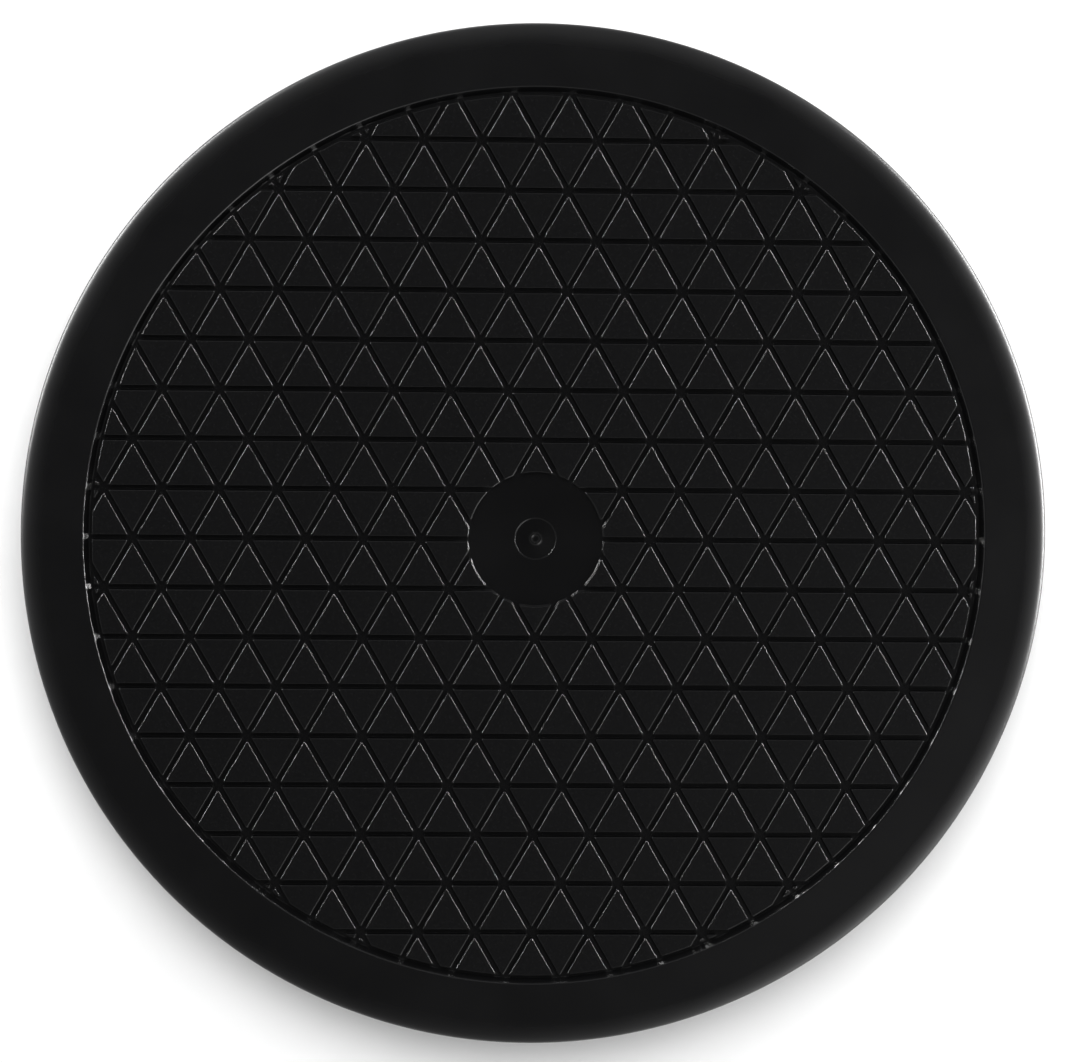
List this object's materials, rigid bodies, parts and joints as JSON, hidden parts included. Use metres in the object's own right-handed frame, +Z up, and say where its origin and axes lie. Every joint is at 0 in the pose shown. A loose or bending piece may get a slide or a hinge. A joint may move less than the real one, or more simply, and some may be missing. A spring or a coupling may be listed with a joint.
{
  "type": "turntable",
  "caption": "Round ball-bearing turntable with a field of raised anti-slip triangles, a smooth rolled rim and a low footed base.",
  "frame": {"origin": "on the spin axis, on the surface that the rubber feet stand on", "axes": "+Z up along the spin axis; +X along a row of tile grooves, towards the first foot and the first ball"},
  "size_m": [0.3048, 0.3048, 0.024],
  "materials": {
    "platter_plastic": "black moulded plastic, fine grain on the tiles, satin on the rim",
    "base_plastic": "black moulded plastic, satin",
    "foot_rubber": "matte dark rubber",
    "race_steel": "pressed steel, polished in the groove",
    "ball_steel": "ground bearing steel",
    "screw_steel": "zinc-plated steel",
    "washer_steel": "zinc-plated steel",
    "bush_bronze": "sintered bronze",
    "insert_brass": "turned brass",
    "washer_nylon": "natural nylon",
    "cage_nylon": "natural nylon"
  },
  "bodies": {
    "base": {"base_disc": "base_plastic", "foot_1": "foot_rubber", "foot_2": "foot_rubber", "foot_3": "foot_rubber", "foot_4": "foot_rubber", "foot_5": "foot_rubber", "foot_6": "foot_rubber", "lower_race": "race_steel", "lower_race_screws": "screw_steel", "pivot_bush": "bush_bronze", "thrust_washer": "washer_nylon"},
    "platter": {"platter": "platter_plastic", "upper_race": "race_steel", "upper_race_screws": "screw_steel", "threaded_insert": "insert_brass", "pivot_screw": "screw_steel", "pivot_washer": "washer_steel"},
    "cage": {"ball_cage": "cage_nylon"},
    "ball_01": {"ball_01": "ball_steel"},
    "ball_02": {"ball_02": "ball_steel"},
    "ball_03": {"ball_03": "ball_steel"},
    "ball_04": {"ball_04": "ball_steel"},
    "ball_05": {"ball_05": "ball_steel"},
    "ball_06": {"ball_06": "ball_steel"},
    "ball_07": {"ball_07": "ball_steel"},
    "ball_08": {"ball_08": "ball_steel"},
    "ball_09": {"ball_09": "ball_steel"},
    "ball_10": {"ball_10": "ball_steel"},
    "ball_11": {"ball_11": "ball_steel"},
    "ball_12": {"ball_12": "ball_steel"},
    "ball_13": {"ball_13": "ball_steel"},
    "ball_14": {"ball_14": "ball_steel"},
    "ball_15": {"ball_15": "ball_steel"},
    "ball_16": {"ball_16": "ball_steel"},
    "ball_17": {"ball_17": "ball_steel"},
    "ball_18": {"ball_18": "ball_steel"},
    "ball_19": {"ball_19": "ball_steel"},
    "ball_20": {"ball_20": "ball_steel"},
    "ball_21": {"ball_21": "ball_steel"},
    "ball_22": {"ball_22": "ball_steel"},
    "ball_23": {"ball_23": "ball_steel"},
    "ball_24": {"ball_24": "ball_steel"}
  },
  "joints": [
    {"name": "platter_spin", "type": "hinge", "parent": "base", "child": "platter", "pos_m": [0, 0, 0.012], "axis": [0, 0, 1], "continuous": true},
    {"name": "cage_orbit", "type": "hinge", "parent": "base", "child": "cage", "pos_m": [0, 0, 0.012], "axis": [0, 0, 1], "continuous": true},
    {"name": "ball_01_spin", "type": "hinge", "parent": "cage", "child": "ball_01", "pos_m": [0.095, 0, 0.012], "axis": [1, 0, 0], "continuous": true},
    {"name": "ball_02_spin", "type": "hinge", "parent": "cage", "child": "ball_02", "pos_m": [0.09176, 0.02459, 0.012], "axis": [0.9659, 0.2588, 0], "continuous": true},
    {"name": "ball_03_spin", "type": "hinge", "parent": "cage", "child": "ball_03", "pos_m": [0.08227, 0.0475, 0.012], "axis": [0.866, 0.5, 0], "continuous": true},
    {"name": "ball_04_spin", "type": "hinge", "parent": "cage", "child": "ball_04", "pos_m": [0.06717, 0.06717, 0.012], "axis": [0.7071, 0.7071, 0], "continuous": true},
    {"name": "ball_05_spin", "type": "hinge", "parent": "cage", "child": "ball_05", "pos_m": [0.0475, 0.08227, 0.012], "axis": [0.5, 0.866, 0], "continuous": true},
    {"name": "ball_06_spin", "type": "hinge", "parent": "cage", "child": "ball_06", "pos_m": [0.02459, 0.09176, 0.012], "axis": [0.2588, 0.9659, 0], "continuous": true},
    {"name": "ball_07_spin", "type": "hinge", "parent": "cage", "child": "ball_07", "pos_m": [0, 0.095, 0.012], "axis": [0, 1, 0], "continuous": true},
    {"name": "ball_08_spin", "type": "hinge", "parent": "cage", "child": "ball_08", "pos_m": [-0.02459, 0.09176, 0.012], "axis": [-0.2588, 0.9659, 0], "continuous": true},
    {"name": "ball_09_spin", "type": "hinge", "parent": "cage", "child": "ball_09", "pos_m": [-0.0475, 0.08227, 0.012], "axis": [-0.5, 0.866, 0], "continuous": true},
    {"name": "ball_10_spin", "type": "hinge", "parent": "cage", "child": "ball_10", "pos_m": [-0.06717, 0.06717, 0.012], "axis": [-0.7071, 0.7071, 0], "continuous": true},
    {"name": "ball_11_spin", "type": "hinge", "parent": "cage", "child": "ball_11", "pos_m": [-0.08227, 0.0475, 0.012], "axis": [-0.866, 0.5, 0], "continuous": true},
    {"name": "ball_12_spin", "type": "hinge", "parent": "cage", "child": "ball_12", "pos_m": [-0.09176, 0.02459, 0.012], "axis": [-0.9659, 0.2588, 0], "continuous": true},
    {"name": "ball_13_spin", "type": "hinge", "parent": "cage", "child": "ball_13", "pos_m": [-0.095, 0, 0.012], "axis": [-1, 0, 0], "continuous": true},
    {"name": "ball_14_spin", "type": "hinge", "parent": "cage", "child": "ball_14", "pos_m": [-0.09176, -0.02459, 0.012], "axis": [-0.9659, -0.2588, 0], "continuous": true},
    {"name": "ball_15_spin", "type": "hinge", "parent": "cage", "child": "ball_15", "pos_m": [-0.08227, -0.0475, 0.012], "axis": [-0.866, -0.5, 0], "continuous": true},
    {"name": "ball_16_spin", "type": "hinge", "parent": "cage", "child": "ball_16", "pos_m": [-0.06717, -0.06717, 0.012], "axis": [-0.7071, -0.7071, 0], "continuous": true},
    {"name": "ball_17_spin", "type": "hinge", "parent": "cage", "child": "ball_17", "pos_m": [-0.0475, -0.08227, 0.012], "axis": [-0.5, -0.866, 0], "continuous": true},
    {"name": "ball_18_spin", "type": "hinge", "parent": "cage", "child": "ball_18", "pos_m": [-0.02459, -0.09176, 0.012], "axis": [-0.2588, -0.9659, 0], "continuous": true},
    {"name": "ball_19_spin", "type": "hinge", "parent": "cage", "child": "ball_19", "pos_m": [0, -0.095, 0.012], "axis": [0, -1, 0], "continuous": true},
    {"name": "ball_20_spin", "type": "hinge", "parent": "cage", "child": "ball_20", "pos_m": [0.02459, -0.09176, 0.012], "axis": [0.2588, -0.9659, 0], "continuous": true},
    {"name": "ball_21_spin", "type": "hinge", "parent": "cage", "child": "ball_21", "pos_m": [0.0475, -0.08227, 0.012], "axis": [0.5, -0.866, 0], "continuous": true},
    {"name": "ball_22_spin", "type": "hinge", "parent": "cage", "child": "ball_22", "pos_m": [0.06717, -0.06717, 0.012], "axis": [0.7071, -0.7071, 0], "continuous": true},
    {"name": "ball_23_spin", "type": "hinge", "parent": "cage", "child": "ball_23", "pos_m": [0.08227, -0.0475, 0.012], "axis": [0.866, -0.5, 0], "continuous": true},
    {"name": "ball_24_spin", "type": "hinge", "parent": "cage", "child": "ball_24", "pos_m": [0.09176, -0.02459, 0.012], "axis": [0.9659, -0.2588, 0], "continuous": true}
  ],
  "couplings": [
    {"joint": "cage_orbit", "follows": "platter_spin", "ratio": 0.5},
    {"joint": "ball_01_spin", "follows": "platter_spin", "ratio": -14.961},
    {"joint": "ball_02_spin", "follows": "platter_spin", "ratio": -14.961},
    {"joint": "ball_03_spin", "follows": "platter_spin", "ratio": -14.961},
    {"joint": "ball_04_spin", "follows": "platter_spin", "ratio": -14.961},
    {"joint": "ball_05_spin", "follows": "platter_spin", "ratio": -14.961},
    {"joint": "ball_06_spin", "follows": "platter_spin", "ratio": -14.961},
    {"joint": "ball_07_spin", "follows": "platter_spin", "ratio": -14.961},
    {"joint": "ball_08_spin", "follows": "platter_spin", "ratio": -14.961},
    {"joint": "ball_09_spin", "follows": "platter_spin", "ratio": -14.961},
    {"joint": "ball_10_spin", "follows": "platter_spin", "ratio": -14.961},
    {"joint": "ball_11_spin", "follows": "platter_spin", "ratio": -14.961},
    {"joint": "ball_12_spin", "follows": "platter_spin", "ratio": -14.961},
    {"joint": "ball_13_spin", "follows": "platter_spin", "ratio": -14.961},
    {"joint": "ball_14_spin", "follows": "platter_spin", "ratio": -14.961},
    {"joint": "ball_15_spin", "follows": "platter_spin", "ratio": -14.961},
    {"joint": "ball_16_spin", "follows": "platter_spin", "ratio": -14.961},
    {"joint": "ball_17_spin", "follows": "platter_spin", "ratio": -14.961},
    {"joint": "ball_18_spin", "follows": "platter_spin", "ratio": -14.961},
    {"joint": "ball_19_spin", "follows": "platter_spin", "ratio": -14.961},
    {"joint": "ball_20_spin", "follows": "platter_spin", "ratio": -14.961},
    {"joint": "ball_21_spin", "follows": "platter_spin", "ratio": -14.961},
    {"joint": "ball_22_spin", "follows": "platter_spin", "ratio": -14.961},
    {"joint": "ball_23_spin", "follows": "platter_spin", "ratio": -14.961},
    {"joint": "ball_24_spin", "follows": "platter_spin", "ratio": -14.961}
  ]
}
